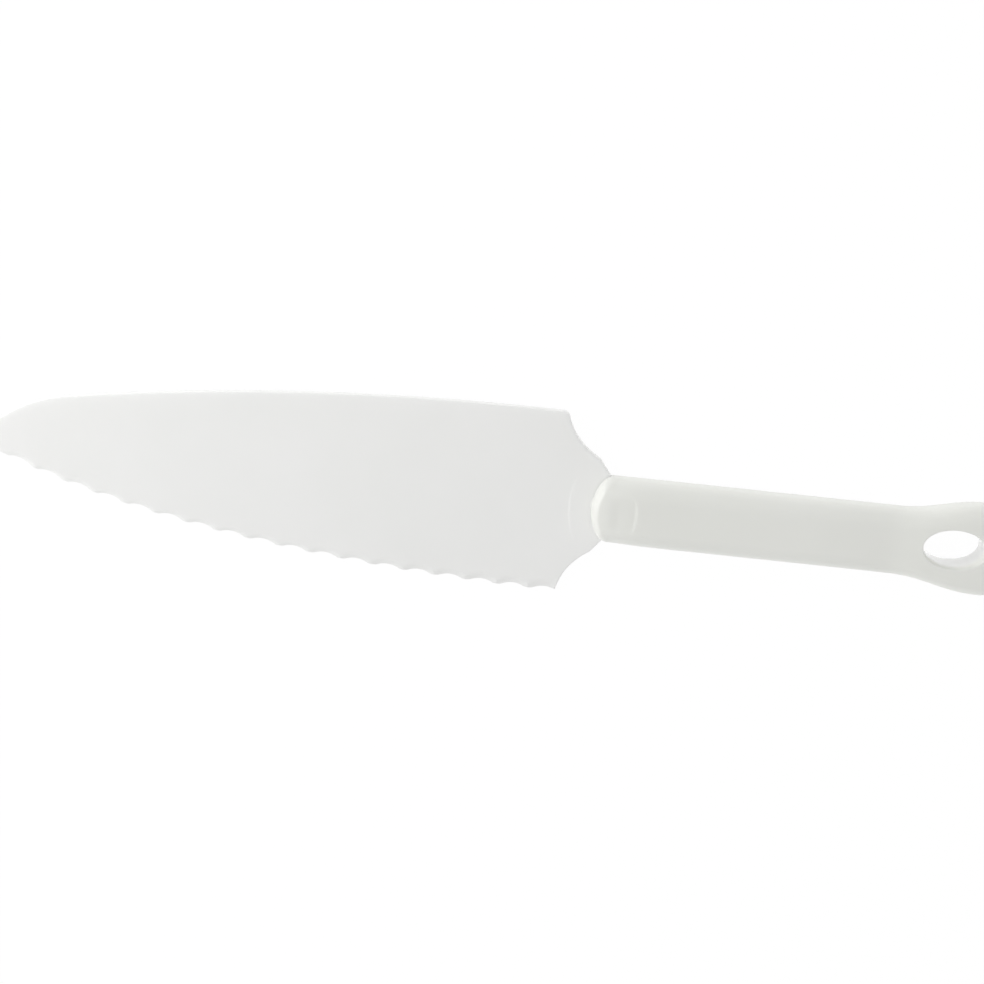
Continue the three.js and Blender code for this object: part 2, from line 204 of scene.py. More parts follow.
# Extra points along the pad's front edge and the handle's foot
BOW_COLUMNS = 72  # to each side
BOW_TURN = math.radians(0.75)  # from one column to the next
BOW_ROWS = 9
BOW_ROW = 0.2  # from one row to the next, as a share of the step's width
PAD_LEAD = 0.3  # the first row's distance ahead of the pad, as such a share

# Plastics
BLADE_PALE = (0.912, 0.912, 0.899)
BLADE_DEEP = (0.89, 0.893, 0.877)
BLADE_SCATTER = 0.4  # share of the light that scatters under the surface
BLADE_SCATTER_REACH = 3
HANDLE_PALE = (0.877, 0.883, 0.842)
HANDLE_DEEP = (0.853, 0.86, 0.818)
HANDLE_SCATTER = 0.3
HANDLE_SCATTER_REACH = 2.5
HOLE_PAINTED_LIGHT_COLOUR = (0.985, 0.987, 0.968)  # painted light: near-white colour of the hang hole's wall, standing in for light from below
PLASTIC_IOR = 1.49
ROUGHNESS = 0.34
ROUGHNESS_DRIFT = 0.03  # either way
TINT_RANGE = (0.3, 0.7)  # levels of the noise that give the deep and the pale tint
TINT_SCALE = 28  # scales of noise are per metre
TINT_DETAIL = 3
SHEEN_SCALE = 260
SHEEN_DETAIL = 5
GRAIN_SCALE = 2600
GRAIN_DETAIL = 2
GRAIN_STRENGTH = 0.12
GRAIN_HEIGHT = 0.03

# Camera, in pixels of the square picture and millimetres
PICTURE_SIZE = 984
FOCAL_PIXELS = 2050
SENSOR = 36
CLIP_START = 10
CAMERA_DISTANCE = 574
CAMERA_TARGET = Vector((-27.56, 0.45, 0))
CAMERA_TILT = math.radians(17)  # leans towards the spine
CAMERA_ROLL = math.radians(6.05)

# Light: a nearly even white tent, a broad lamp low on the left and a bright floor
TENT_LEFT = 0.77
TENT_RIGHT = 0.7
TENT_TURN = (-0.1, 0.04)  # from the left side to the right one, as a direction's share along X
TENT_FRONT = 0.67  # the low ring, on the side of the cutting edge
TENT_BACK = 0.61  # the low ring, on the side of the spine
TENT_RISE = (0.45, 0.9)  # from the low ring to the top, as a direction's share along Z
LAMP_PLACE = Vector((-550, 120, 200))
LAMP_AIM = Vector((-30, 0, 0))
LAMP_WIDTH = 500
LAMP_HEIGHT = 300
LAMP_POWER = 1.56  # in watts
FLOOR_COLOUR = (0.96, 0.96, 0.96, 1)
FLOOR_WHITE = 0.96  # share of plain white in what the camera sees of the floor
FLOOR_LIGHT = 0.28  # what the overexposed floor adds to the light on the knife
FLOOR_RADIUS = 20000  # reaches past the horizon of a low view
FLOOR_GAP = 0.05  # how far the floor lies under the knife


def flat(x, y):
    """A point of an outline."""
    return Vector((x, y))


def line(start, end, step=OUTLINE_STEP):
    """Points from start to just before end."""
    count = max(1, round((end - start).length / step))
    return [start.lerp(end, index / count) for index in range(count)]


def curve(controls, step=OUTLINE_STEP):
    """Points of a Bezier curve from its first control to just before its last."""
    reach = sum((b - a).length for a, b in zip(controls, controls[1:]))
    count = max(LEAST_STEPS, round(reach / step))
    points = []
    for index in range(count):
        level = controls
        while len(level) > 1:
            level = [a.lerp(b, index / count) for a, b in zip(level, level[1:])]
        points.append(level[0])
    return points


def oval(x, y, half_x, half_y, first, last, count):
    """Points of an arc of an ellipse from one angle to just before another."""
    points = []
    for index in range(count):
        angle = first + (last - first) * index / count
        points.append(flat(x + half_x * math.cos(angle), y + half_y * math.sin(angle)))
    return points


def ring(x, y, half_x, half_y, count=TURN_STEPS):
    """A whole ellipse."""
    return oval(x, y, half_x, half_y, 0, 2 * math.pi, count)


def inset(points, distance, closed=True):
    """A line of points that runs counter-clockwise round an outline, moved into it."""
    moved = []
    last = len(points) - 1
    for index, point in enumerate(points):
        before = points[index - 1] if closed or index > 0 else point
        after = points[(index + 1) % len(points)] if closed or index < last else point
        came = (point - before).normalized()
        goes = (after - point).normalized()
        along = (came + goes).normalized()
        reach = distance / max(along.dot(came), along.dot(goes))
        moved.append(point + flat(-along.y, along.x) * reach)
    return moved


def lifted(points, height):
    """Outline points at a height, which is a number or a function of x and y."""
    if callable(height):
        return [Vector((p.x, p.y, height(p.x, p.y))) for p in points]
    return [Vector((p.x, p.y, height)) for p in points]


def encloses(loop, point):
    """Whether a closed outline goes round a point."""
    inside = False
    for a, b in zip(loop, loop[1:] + loop[:1]):
        if (a.y > point.y) != (b.y > point.y):
            if point.x < a.x + (point.y - a.y) * (b.x - a.x) / (b.y - a.y):
                inside = not inside
    return inside


def gap_to(loop, x, y):
    """Distance from a point to a closed outline."""
    point = flat(x, y)
    nearest = math.inf
    for a, b in zip(loop, loop[1:] + loop[:1]):
        foot, share = intersect_point_line(point, a, b)
        if share <= 0:
            foot = a
        elif share >= 1:
            foot = b
        nearest = min(nearest, (point - foot.xy).length)
    return nearest


def grid(loop, step):
    """Evenly spread points inside a closed outline."""
    low_x = min(p.x for p in loop)
    high_x = max(p.x for p in loop)
    low_y = min(p.y for p in loop)
    high_y = max(p.y for p in loop)
    spots = []
    for row in range(int((high_y - low_y) / step) + 1):
        for column in range(int((high_x - low_x) / step) + 1):
            spot = flat(low_x + (column + 0.5 * (row % 2)) * step, low_y + row * step)
            if encloses(loop, spot):
                spots.append(spot)
    return spots


def smooth_step(value):
    """An even ease from 0 to 1."""
    share = min(max(value, 0), 1)
    return share * share * (3 - 2 * share)


def ease_out(value):
    """From 1 at 0 down to 0 at 1, ever more slowly."""
    return (1 - min(max(value, 0), 1)) ** 2


def soft_least(a, b, softness):
    """The lesser of two heights, with the crease between them rounded."""
    share = min(max(0.5 + 0.5 * (b - a) / softness, 0), 1)
    return b + (a - b) * share - softness * share * (1 - share)


def quarter(step, steps):
    """The angle at a step of a quarter turn."""
    return math.pi / 2 * step / steps


class Skin:
    """The faces of one piece, gathered in millimetres and made into an object in metres."""

    def __init__(self):
        self.mesh = bmesh.new()

    def add(self, points):
        """New corners."""
        return [self.mesh.verts.new(p * MM) for p in points]

    def strip(self, *loops):
        """Walls between closed loops of equally many points."""
        rows = [self.add(loop) for loop in loops]
        for low, high in zip(rows, rows[1:]):
            for index in range(len(low)):
                after = (index + 1) % len(low)
                self.mesh.faces.new((low[index], low[after], high[after], high[index]))

    def sheet(self, loops, lines=(), spots=(), holes=()):
        """Triangles inside the first loop, through the other loops, lines and spots. Holes stay open."""
        points = []
        edges = []
        for path, closed in [(loop, True) for loop in loops] + [(path, False) for path in lines]:
            first = len(points)
            points += path
            edges += [(first + i, first + i + 1) for i in range(len(path) - 1)]
            if closed:
                edges.append((len(points) - 1, first))
        points += spots
        result = delaunay_2d_cdt([p.xy for p in points], edges, [], 1, FLAT_GAP)
        corners, faces, origins = result[0], result[2], result[3]
        made = self.add(points[origin[0]] for origin in origins)
        for face in faces:
            middle = sum((corners[i] for i in face), flat(0, 0)) / len(face)
            if not any(encloses(hole, middle) for hole in holes):
                self.mesh.faces.new([made[i] for i in face])

    def finish(self, name):
        """The object, closed and smooth."""
        bmesh.ops.remove_doubles(self.mesh, verts=self.mesh.verts, dist=MERGE_GAP * MM)
        bmesh.ops.dissolve_degenerate(self.mesh, edges=self.mesh.edges, dist=SLIVER * MM)
        loose = [v for v in self.mesh.verts if not v.link_faces]
        bmesh.ops.delete(self.mesh, geom=loose, context="VERTS")
        bmesh.ops.recalc_face_normals(self.mesh, faces=self.mesh.faces)
        data = bpy.data.meshes.new(name)
        self.mesh.to_mesh(data)
        self.mesh.free()
        piece = bpy.data.objects.new(name, data)
        bpy.context.scene.collection.objects.link(piece)
        return piece


def prism(name, outline, bottom, top, holes=()):
    """An outline raised straight up, with upright holes through it."""
    skin = Skin()
    for loop in (outline, *holes):
        skin.strip(lifted(loop, bottom), lifted(loop, top))
    for height in (bottom, top):
        loops = [lifted(loop, height) for loop in (outline, *holes)]
        skin.sheet(loops, holes=holes)
    return skin.finish(name)


def combine(piece, tool, operation):
    """Cuts a piece with a tool, or joins them, and takes the tool away."""
    modifier = piece.modifiers.new("combine", "BOOLEAN")
    modifier.object = tool
    modifier.operation = operation
    modifier.solver = "EXACT"
    shown = piece.evaluated_get(bpy.context.evaluated_depsgraph_get())
    data = bpy.data.meshes.new_from_object(shown)
    piece.modifiers.clear()
    piece.data = data
    bpy.data.objects.remove(tool)


class CuttingEdge:
    """The line of the crests, measured from the heel, and the hollows between them."""

    def __init__(self):
        heel = flat(-EDGE_HEEL_SETBACK, -BLADE_HALF)
        tip = flat(-BLADE_LENGTH, TIP_RISE)
        slope = flat(math.cos(EDGE_ANGLE), -math.sin(EDGE_ANGLE))
        controls = [heel, heel - flat(EDGE_FLAT, 0), tip + slope * EDGE_SWEEP, tip + slope * TIP_ROUND]
        self.points = curve(controls, EDGE_STEP / 2) + [controls[-1]]
        self.marks = [0]
        for a, b in zip(self.points, self.points[1:]):
            self.marks.append(self.marks[-1] + (b - a).length)
        self.length = self.marks[-1]
        chord = SCALLOP_PITCH - CREST_WIDTH
        self.radius = chord * chord / (8 * SCALLOP_DEPTH) + SCALLOP_DEPTH / 2
        count = int((self.length - PLAIN_TIP - FIRST_CREST) / SCALLOP_PITCH) + 1
        self.middles = [FIRST_CREST + (index - 0.5) * SCALLOP_PITCH for index in range(count)]
        self.places = [(*self.place(middle), self.land(middle)) for middle in self.middles]

    def place(self, along):
        """The point there, and the direction into the blade."""
        index = 0
        while index < len(self.marks) - 2 and self.marks[index + 1] < along:
            index += 1
        a, b = self.points[index], self.points[index + 1]
        share = (along - self.marks[index]) / (self.marks[index + 1] - self.marks[index])
        direction = (b - a).normalized()
        return a.lerp(b, share), flat(direction.y, -direction.x)

    def land(self, along):
        """The thickness of the edge there."""
        return EDGE_LAND + (TIP_LAND - EDGE_LAND) * along / self.length

    def hollow(self, across):
        """How far a hollow reaches in from the crests, that far from its middle."""
        return SCALLOP_DEPTH - self.radius + math.sqrt(max(self.radius**2 - across**2, 0))

    def recess(self, along):
        """How far the scalloped outline lies inside the line of the crests."""
        return max(0, max(self.hollow(along - middle) for middle in self.middles))

    def height(self, x, y):
        """The height of the lowest hollow over a point."""
        lowest = HANDLE_HEIGHT
        for middle, inward, land in self.places:
            offset = flat(x, y) - middle
            across = offset.x * inward.y - offset.y * inward.x
            if abs(across) < self.radius:
                rise = offset.dot(inward) - self.hollow(across)
                lowest = min(lowest, land + rise * math.tan(FLUTE_ANGLE))
        return lowest


EDGE = CuttingEdge()


def front_outline(depth, lean):
    """The handle's front, from its upper to its lower side, at an inset and with a lean of its bow."""
    corner = CORNER_RADIUS + (CORNER_LEFT - CORNER_RADIUS) * depth / TOP_RADIUS
    bow = FRONT_RADIUS - FRONT_SETBACK - lean
    y = GRIP_HALF - depth - corner
    x = FRONT_RADIUS - math.sqrt((bow - corner) ** 2 - y**2)
    angle = math.atan2(y, FRONT_RADIUS - x)
    points = oval(x, y, corner, corner, math.pi / 2, math.pi - angle, CORNER_STEPS)
    points += oval(FRONT_RADIUS, 0, bow, bow, math.pi - angle, math.pi + angle, BOW_STEPS)
    points += oval(x, -y, corner, corner, math.pi + angle, 1.5 * math.pi, CORNER_STEPS)
    return points + [flat(x, -y - corner)]


FRONT_LINE = front_outline(0, 0)


def spine_line(x):
    """The spine's y, up to the nose."""
    bend = -SPINE_HEEL_SETBACK - SPINE_STRAIGHT
    nose = NOSE_LENGTH - BLADE_LENGTH
    share = max(0, (bend - x) / (bend - nose))
    return BLADE_HALF - NOSE_DROP * share * share


def front_gap(x, y):
    """Distance ahead of the handle's front, and 0 under the handle."""
    if x < -PAD_REACH or abs(y) > NECK_HALF_WIDTH:
        return PAD_REACH
    if x > FRONT_LINE[0].x or encloses(FRONT_LINE, flat(x, y)):
        return 0
    return gap_to(FRONT_LINE, x, y)


def face_height(x, y):
    """The blade's face: tapered from spine to edge, with the root pad that rises to the handle."""
    across = (y + BLADE_HALF) / (2 * BLADE_HALF)
    taper = EDGE_THICKNESS + (SPINE_THICKNESS - EDGE_THICKNESS) * across
    taper -= SPINE_EASE * max(0, 1 - (spine_line(x) - y) / SPINE_EASE_WIDTH) ** 2
    inside = PAD_RADIUS - math.hypot(x - (PAD_RADIUS - PAD_FRONT), y)
    fade = max(0, 1 - ((y - PAD_EDGE_MIDDLE) / PAD_EDGE_HALF) ** 2)
    ahead = front_gap(x, y)
    pad = taper + PAD_STEP * fade * smooth_step(inside / PAD_STEP_WIDTH)
    pad += PAD_RISE * ease_out(ahead / PAD_REACH)
    return pad + (SPINE_THICKNESS - pad) * ease_out(ahead / FOOT_REACH)


def blade_height(x, y):
    """The blade's upper surface, hollows included."""
    height = soft_least(face_height(x, y), EDGE.height(x, y), FLUTE_SOFTNESS)
    return max(EDGE_LAND, height)


def shoulder(setback, side, reach):
    """A hollow shoulder from near a corner of the heel to the neck."""
    neck = flat(NECK_START, side * NECK_HALF_WIDTH)
    corner = flat(-setback, side * BLADE_HALF)
    along = (neck - corner).normalized()
    inward = flat(side * along.y, -side * along.x)
    control = (corner + neck) / 2 + inward * 2 * SHOULDER_DIP
    start = corner + (control - corner).normalized() * reach
    return [start, control, neck]


def spine_outline():
    """The blade's upper outline from the heel along the spine and round the nose to the tip."""
    heel = flat(-SPINE_HEEL_SETBACK, BLADE_HALF)
    bend = heel - flat(SPINE_STRAIGHT, 0)
    nose = flat(NOSE_LENGTH - BLADE_LENGTH, BLADE_HALF - NOSE_DROP)
    slope = 2 * NOSE_DROP / (bend.x - nose.x)
    turn_x = NOSE_TURN - BLADE_LENGTH
    turn = flat(turn_x, nose.y - slope * (nose.x - turn_x))
    tip = flat(-BLADE_LENGTH, TIP_RISE)
    end = tip + (turn - tip).normalized() * TIP_ROUND
    start = shoulder(SPINE_HEEL_SETBACK, 1, HEEL_ROUND)[0]
    after = heel - flat(HEEL_ROUND, 0)
    points = curve([start, heel, after], TIGHT_STEP)
    points += line(after, bend)
    points += curve([bend, flat((bend.x + nose.x) / 2, BLADE_HALF), nose])
    points += curve([nose, turn, end], NOSE_STEP)
    return points + curve([end, tip, EDGE.points[-1]], TIGHT_STEP)


def plate_outline():
    """The blade's outline: its scalloped edge, and the rest from the heel's lower corner to the tip."""
    root_start = NECK_START + (NECK_HALF_WIDTH - ROOT_HALF) / NECK_SLOPE
    low = shoulder(EDGE_HEEL_SETBACK, -1, POINT_ROUND)
    high = shoulder(SPINE_HEEL_SETBACK, 1, HEEL_ROUND)
    scalloped = []
    count = round((EDGE.length - POINT_ROUND) / EDGE_STEP)
    for index in range(count):
        along = EDGE.length + (POINT_ROUND - EDGE.length) * index / count
        point, inward = EDGE.place(along)
        scalloped.append(point + inward * EDGE.recess(along))
    rest = curve(low, SHOULDER_STEP)
    corners = [low[-1], flat(root_start, -ROOT_HALF), flat(ROOT_END, -ROOT_HALF)]
    corners += [flat(ROOT_END, ROOT_HALF), flat(root_start, ROOT_HALF), high[-1]]
    for start, end in zip(corners, corners[1:]):
        rest += line(start, end)
    rest += curve(high[::-1], SHOULDER_STEP)
    return scalloped, rest + spine_outline()


def edge_spots():
    """Points over the hollows of the cutting edge, closer together towards the edge."""
    spots = []
    count = round(EDGE.length / EDGE_STEP)
    for column in range(1, count):
        along = EDGE.length * column / count
        point, inward = EDGE.place(along)
        recess = EDGE.recess(along)
        from_tip = SPOT_START + SPOT_TIP_SLOPE * (EDGE.length - along)
        from_heel = SPOT_START + SPOT_HEEL_SLOPE * along
        depth = min(SPOT_REACH, from_tip, from_heel)
        for row in range(1, SPOT_ROWS + 1):
            spots.append(point + inward * (recess + depth * (row / SPOT_ROWS) ** SPOT_CROWDING))
    return spots


def bow_spots(outline, radius, front, reaches):
    """Points along a bow of that radius and front end, at these distances ahead of it."""
    spots = []
    for reach in reaches:
        ahead = radius + reach
        for column in range(-BOW_COLUMNS, BOW_COLUMNS + 1):
            angle = math.pi + column * BOW_TURN
            spot = flat(front + radius + ahead * math.cos(angle), ahead * math.sin(angle))
            if encloses(outline, spot):
                spots.append(spot)
    return spots


def pad_spots(outline):
    """Points over the pad's bowed front edge and over the fillet at the handle's foot."""
    edge = [PAD_STEP_WIDTH * (PAD_LEAD - BOW_ROW * row) for row in range(BOW_ROWS)]
    foot = [FOOT_REACH * BOW_ROW * (row - 1) for row in range(BOW_ROWS)]
    spots = bow_spots(outline, PAD_RADIUS, -PAD_FRONT, edge)
    return spots + bow_spots(outline, FRONT_RADIUS, 0, foot)


def edge_line(path, drop):
    """A line along the blade's rounded edge, that far under its face."""
    return lifted(path, lambda x, y: max(EDGE_LAND, blade_height(x, y) - drop))


def peg_hole(x):
    """The outline of a hole for a peg."""
    radius = PEG_RADIUS + CLEARANCE
    return ring(x, 0, radius, radius, PEG_STEPS)


def make_blade():
    """The blade with its neck, root and tang."""
    scalloped, rest = plate_outline()
    outline = scalloped + rest
    border = lifted(scalloped, blade_height) + edge_line(rest, PLATE_ROUND)
    lines = []
    for step in range(1, PLATE_STEPS + 1):
        angle = quarter(step, PLATE_STEPS)
        path = inset(rest, PLATE_ROUND * (1 - math.cos(angle)), closed=False)
        lines.append(edge_line(path[1:-1], PLATE_ROUND * (1 - math.sin(angle))))
    inner = inset(outline, PLATE_ROUND + PLATE_MARGIN)
    spots = edge_spots() + pad_spots(inner) + grid(inner, GRID_STEP)
    skin = Skin()
    skin.sheet([border], lines, lifted(spots, blade_height))
    skin.sheet([lifted(outline, 0)])
    skin.strip(lifted(outline, 0), border)
    blade = skin.finish("blade_moulding")
    tang = inner_outline(SIDE_WALL + CLEARANCE, TANG_END)
    holes = [peg_hole(x) for x in PEG_PLACES]
    combine(blade, prism("tang", tang, LEDGE_HEIGHT, TANG_TOP, holes), "UNION")
    return blade


def butt_outline(start, depth):
    """The sides, flare and butt of the handle's outline at an inset, up to where its front starts."""
    grip = GRIP_HALF - depth
    paddle = PADDLE_HALF - depth
    flare = PADDLE_WIDEST - FLARE_EASE
    cap = HANDLE_LENGTH - PADDLE_WIDEST - depth
    low = [flat(FLARE_START, -grip), flat(FLARE_START + FLARE_LEAD, -grip)]
    low += [flat(flare, -paddle), flat(PADDLE_WIDEST, -paddle)]
    high = [flat(p.x, -p.y) for p in low[::-1]]
    points = line(flat(start, -grip), flat(FRONT_RADIUS, -grip), FRONT_STEP)
    points += line(flat(FRONT_RADIUS, -grip), low[0])
    points += curve(low)
    points += oval(PADDLE_WIDEST, 0, cap, paddle, -math.pi / 2, math.pi / 2, CAP_STEPS)
    points += curve(high)
    points += line(high[-1], flat(FRONT_RADIUS, grip))
    points += line(flat(FRONT_RADIUS, grip), flat(start, grip), FRONT_STEP)
    return points + [flat(start, grip)]


def handle_outline(depth, lean):
    """The whole outline of the handle at an inset of its sides and a lean of its front."""
    front = front_outline(depth, lean)
    return butt_outline(front[0].x, depth) + front[1:-1]


def inner_outline(depth, end):
    """The front of the handle at an inset all round, up to a straight end: the hollow or the tang."""
    front = front_outline(depth, depth)
    far = flat(end, front[-1].y)
    near = flat(end, front[0].y)
    return line(front[-1], far) + line(far, near) + line(near, front[0]) + front[:-1]


def hole_outline(margin, lean=0):
    """The hang hole's outline, wider all round by a margin and moved towards the blade by a lean."""
    return ring(HOLE_MIDDLE - lean, HOLE_SIDE, HOLE_HALF_LENGTH + margin, HOLE_HALF_WIDTH + margin)


def mouth_outline():
    """The way in for the blade's neck."""
    half = ROOT_HALF + CLEARANCE
    widened = FIT * math.hypot(1, NECK_SLOPE)
    narrow = NECK_START + (NECK_HALF_WIDTH - half + widened) / NECK_SLOPE
    wide = half + NECK_SLOPE * (narrow + OVERSHOOT)
    right = [flat(-OVERSHOOT, -wide), flat(narrow, -half), flat(ROOT_END, -half)]
    return right + [flat(p.x, -p.y) for p in right[::-1]]


def dish_depth(x, y):
    """Depth of the thumb dish: a soft front slope, a level floor and a small rear wall, both bowed."""
    fade = 1 - min(1, abs(y / DISH_HALF_WIDTH)) ** DISH_FADE
    start = DISH_START + y * y / (2 * DISH_FRONT_BOW)
    end = DISH_END - y * y / (2 * DISH_REAR_BOW)
    along = (x - start) / (end - start)
    rear = 1 - smooth_step((along - DISH_WALL) / (1 - DISH_WALL))
    return DISH_DEPTH * fade * fade * smooth_step(along / DISH_FLOOR) * rear


def lip_drop(x, y):
    """How far the rounded rim of the hang hole lies under the top."""
    along = x - HOLE_MIDDLE
    across = y - HOLE_SIDE
    wide = math.hypot(along / (HOLE_HALF_LENGTH + HOLE_LIP), across / (HOLE_HALF_WIDTH + HOLE_LIP))
    if wide >= 1:
        return 0
    narrow = math.hypot(along / HOLE_HALF_LENGTH, across / HOLE_HALF_WIDTH)
    share = max(0, narrow - 1) / (narrow / wide - 1)
    return HOLE_LIP_DEPTH * (1 - math.sqrt(1 - max(0, 1 - share) ** 2))


def carved(x, y, level):
    """The handle's top: a level with its crown, less the thumb dish and the rim of the hang hole."""
    bow = FRONT_RADIUS - FRONT_SETBACK - FRONT_REACH
    behind = x - FRONT_RADIUS + math.sqrt(max(bow * bow - y * y, 0))
    fall = CROWN * (y / GRIP_HALF) ** 2 + FRONT_EASE * ease_out(behind / FRONT_EASE_LENGTH)
    fall += SWELL * (1 - smooth_step((x - SWELL_START) / SWELL_LENGTH))
    return min(level - fall - dish_depth(x, y), HANDLE_HEIGHT - lip_drop(x, y))


def laid_on_top(path, level):
    """A path on the handle's top, at a level that its crown, dish and rim are taken off."""
    return [Vector((p.x, p.y, carved(p.x, p.y, level))) for p in path]


def top_rings():
    """Closed loops up the rounded upper edge of the handle, from its side to its top."""
    rings = []
    for step in range(ROUND_STEPS + 1):
        angle = quarter(step, ROUND_STEPS)
        level = HANDLE_HEIGHT - TOP_DEPTH * (1 - math.sin(angle))
        share = 1 - math.cos(angle)
        path = handle_outline(TOP_RADIUS * share, FRONT_REACH * share)
        rings.append(laid_on_top(path, level))
    return rings


def top_spots():
    """Points over the handle's level top, closer together at its front and on the rim of the hang hole."""
    inside = inset(handle_outline(TOP_RADIUS, FRONT_REACH), TOP_MARGIN)
    wide_hole = hole_outline(HOLE_LIP + TOP_MARGIN)
    rim = []
    for step in range(1, RIM_STEPS + 1):
        rim += hole_outline(HOLE_LIP * (1 - math.cos(quarter(step, RIM_STEPS))))
    front = [spot for spot in grid(inside, FRONT_STEP) if spot.x < FRONT_RADIUS]
    rest = [spot for spot in grid(inside, TOP_STEP) if spot.x > FRONT_RADIUS]
    spots = front + [spot for spot in rest if not encloses(wide_hole, spot)]
    spots += [spot for spot in rim if encloses(inside, spot)]
    return laid_on_top(spots, HANDLE_HEIGHT)


def lower_rings(outline):
    """Closed loops down the rounded lower edge of the handle, from its side to its back."""
    rings = []
    for step in range(BACK_STEPS + 1):
        angle = quarter(step, BACK_STEPS)
        path = inset(outline, BACK_RADIUS * (1 - math.cos(angle)))
        rings.append(lifted(path, BACK_RADIUS * (1 - math.sin(angle))))
    return rings


def hole_lips():
    """Closed loops round the hang hole's lip at the back, from the back up to its wall."""
    lips = []
    for step in range(LIP_STEPS + 1):
        angle = quarter(step, LIP_STEPS)
        path = hole_outline(HOLE_BACK_LIP * (1 - math.sin(angle)), HOLE_LEAN)
        lips.append(lifted(path, HOLE_BACK_LIP * (1 - math.cos(angle))))
    return lips


def make_peg(x):
    """A peg with its shoulder, which reaches into the handle's ceiling."""
    levels = [
        (PEG_RADIUS, PEG_BOTTOM),
        (PEG_RADIUS, BOSS_BOTTOM),
        (BOSS_RADIUS, BOSS_BOTTOM),
        (BOSS_RADIUS, CEILING + OVERSHOOT),
    ]
    loops = [lifted(ring(x, 0, radius, radius, PEG_STEPS), height) for radius, height in levels]
    skin = Skin()
    skin.strip(*loops)
    skin.sheet([loops[0]])
    skin.sheet([loops[-1]])
    return skin.finish("peg")


def make_handle_body():
    """The handle's body: a rounded tub, open at the back, with two pegs and a collar for the hole."""
    hole = hole_outline(0)
    rim = laid_on_top(hole, HANDLE_HEIGHT)
    upper = top_rings()
    lower = lower_rings(handle_outline(0, 0))
    lips = hole_lips()
    skin = Skin()
    skin.sheet(upper + [rim], spots=top_spots(), holes=[hole])
    skin.sheet(lower + lips, holes=[hole_outline(0, HOLE_LEAN)])
    skin.strip(lower[0], upper[0])
    skin.strip(lips[-1], rim)
    body = skin.finish("handle_shell")
    hollow_body(body)
    for x in PEG_PLACES:
        combine(body, make_peg(x), "UNION")
    return body


def hollow_body(body):
    """Takes the hollow, the cover's seat and the way in for the blade out of the handle's body."""
    cavity = inner_outline(SIDE_WALL, CAVITY_END)
    combine(body, prism("cavity", cavity, -OVERSHOOT, CEILING), "DIFFERENCE")
    seat = butt_outline(ROOT_END, COVER_RIM)
    collar = hole_outline(COLLAR_WALL)
    combine(body, prism("seat", seat, -OVERSHOOT, LEDGE_HEIGHT, [collar]), "DIFFERENCE")
    combine(body, prism("mouth", mouth_outline(), -OVERSHOOT, SPINE_THICKNESS + FIT), "DIFFERENCE")


def make_back_cover():
    """The plate that closes the back of the handle."""
    outline = butt_outline(COVER_FRONT, COVER_RIM + COVER_SEAM)
    hole = hole_outline(COLLAR_WALL + COVER_SEAM)
    skin = Skin()
    lower = []
    holes = []
    for step in range(COVER_STEPS + 1):
        angle = quarter(step, COVER_STEPS)
        depth = COVER_ROUND * (1 - math.cos(angle))
        height = COVER_ROUND * (1 - math.sin(angle))
        lower.append(lifted(inset(outline, depth), height))
        holes.append(lifted(hole_outline(COLLAR_WALL + COVER_SEAM + depth), height))
    skin.sheet(lower + holes, holes=[hole])
    skin.sheet([lifted(outline, COVER_THICKNESS), lifted(hole, COVER_THICKNESS)], holes=[hole])
    skin.strip(lower[0], lifted(outline, COVER_THICKNESS))
    skin.strip(holes[0], lifted(hole, COVER_THICKNESS))
    cover = skin.finish("back_cover_plate")
    for x in PEG_PLACES:
        pocket = prism("pocket", peg_hole(x), PEG_BOTTOM - CLEARANCE, LEDGE_HEIGHT)
        combine(cover, pocket, "DIFFERENCE")
    return cover


def painted_hole_light_share(material):
    """Mask of the painted light: 1 low on the wall of the hang hole, and 0 from its rim on."""
    nodes = material.node_tree.nodes
    links = material.node_tree.links
    offset = nodes.new("ShaderNodeVectorMath")
    offset.operation = "SUBTRACT"
    offset.inputs[1].default_value = (HOLE_MIDDLE * MM, HOLE_SIDE * MM, 0)
    links.new(nodes.new("ShaderNodeTexCoord").outputs["Object"], offset.inputs[0])
    scaled = nodes.new("ShaderNodeVectorMath")
    scaled.operation = "DIVIDE"
    halves = (HOLE_HALF_LENGTH + HOLE_LIP, HOLE_HALF_WIDTH + HOLE_LIP, HOLE_PAINTED_LIGHT_HEIGHT)
    scaled.inputs[1].default_value = [half * MM for half in halves]
    links.new(offset.outputs["Vector"], scaled.inputs[0])
    reach = nodes.new("ShaderNodeVectorMath")
    reach.operation = "LENGTH"
    links.new(scaled.outputs["Vector"], reach.inputs[0])
    share = nodes.new("ShaderNodeMapRange")
    share.interpolation_type = "SMOOTHSTEP"
    share.inputs["From Min"].default_value = HOLE_HALF_LENGTH / (HOLE_HALF_LENGTH + HOLE_LIP)
    share.inputs["From Max"].default_value = HOLE_PAINTED_LIGHT_END
    share.inputs["To Min"].default_value = 1
    share.inputs["To Max"].default_value = 0
    links.new(reach.outputs["Value"], share.inputs["Value"])
    return share.outputs["Result"]


def paint_hole_light(material):
    """Paints light onto the wall of the hang hole with a paler colour, and gives the wall more scatter
    under its surface and a smooth coat.
    """
    nodes = material.node_tree.nodes
    links = material.node_tree.links
    surface = nodes["Principled BSDF"].inputs
    share = painted_hole_light_share(material)
    # painted light: the base colour turns near white low on the wall of the hang hole
    mix = nodes.new("ShaderNodeMix")
    mix.data_type = "RGBA"
    mix.inputs["B"].default_value = (*HOLE_PAINTED_LIGHT_COLOUR, 1)
    links.new(share, mix.inputs["Factor"])
    links.new(surface["Base Color"].links[0].from_socket, mix.inputs["A"])
    links.new(mix.outputs["Result"], surface["Base Color"])
    scatter = nodes.new("ShaderNodeMapRange")
    scatter.inputs["To Min"].default_value = surface["Subsurface Weight"].default_value
    links.new(share, scatter.inputs["Value"])
    links.new(scatter.outputs["Result"], surface["Subsurface Weight"])
    links.new(share, surface["Coat Weight"])


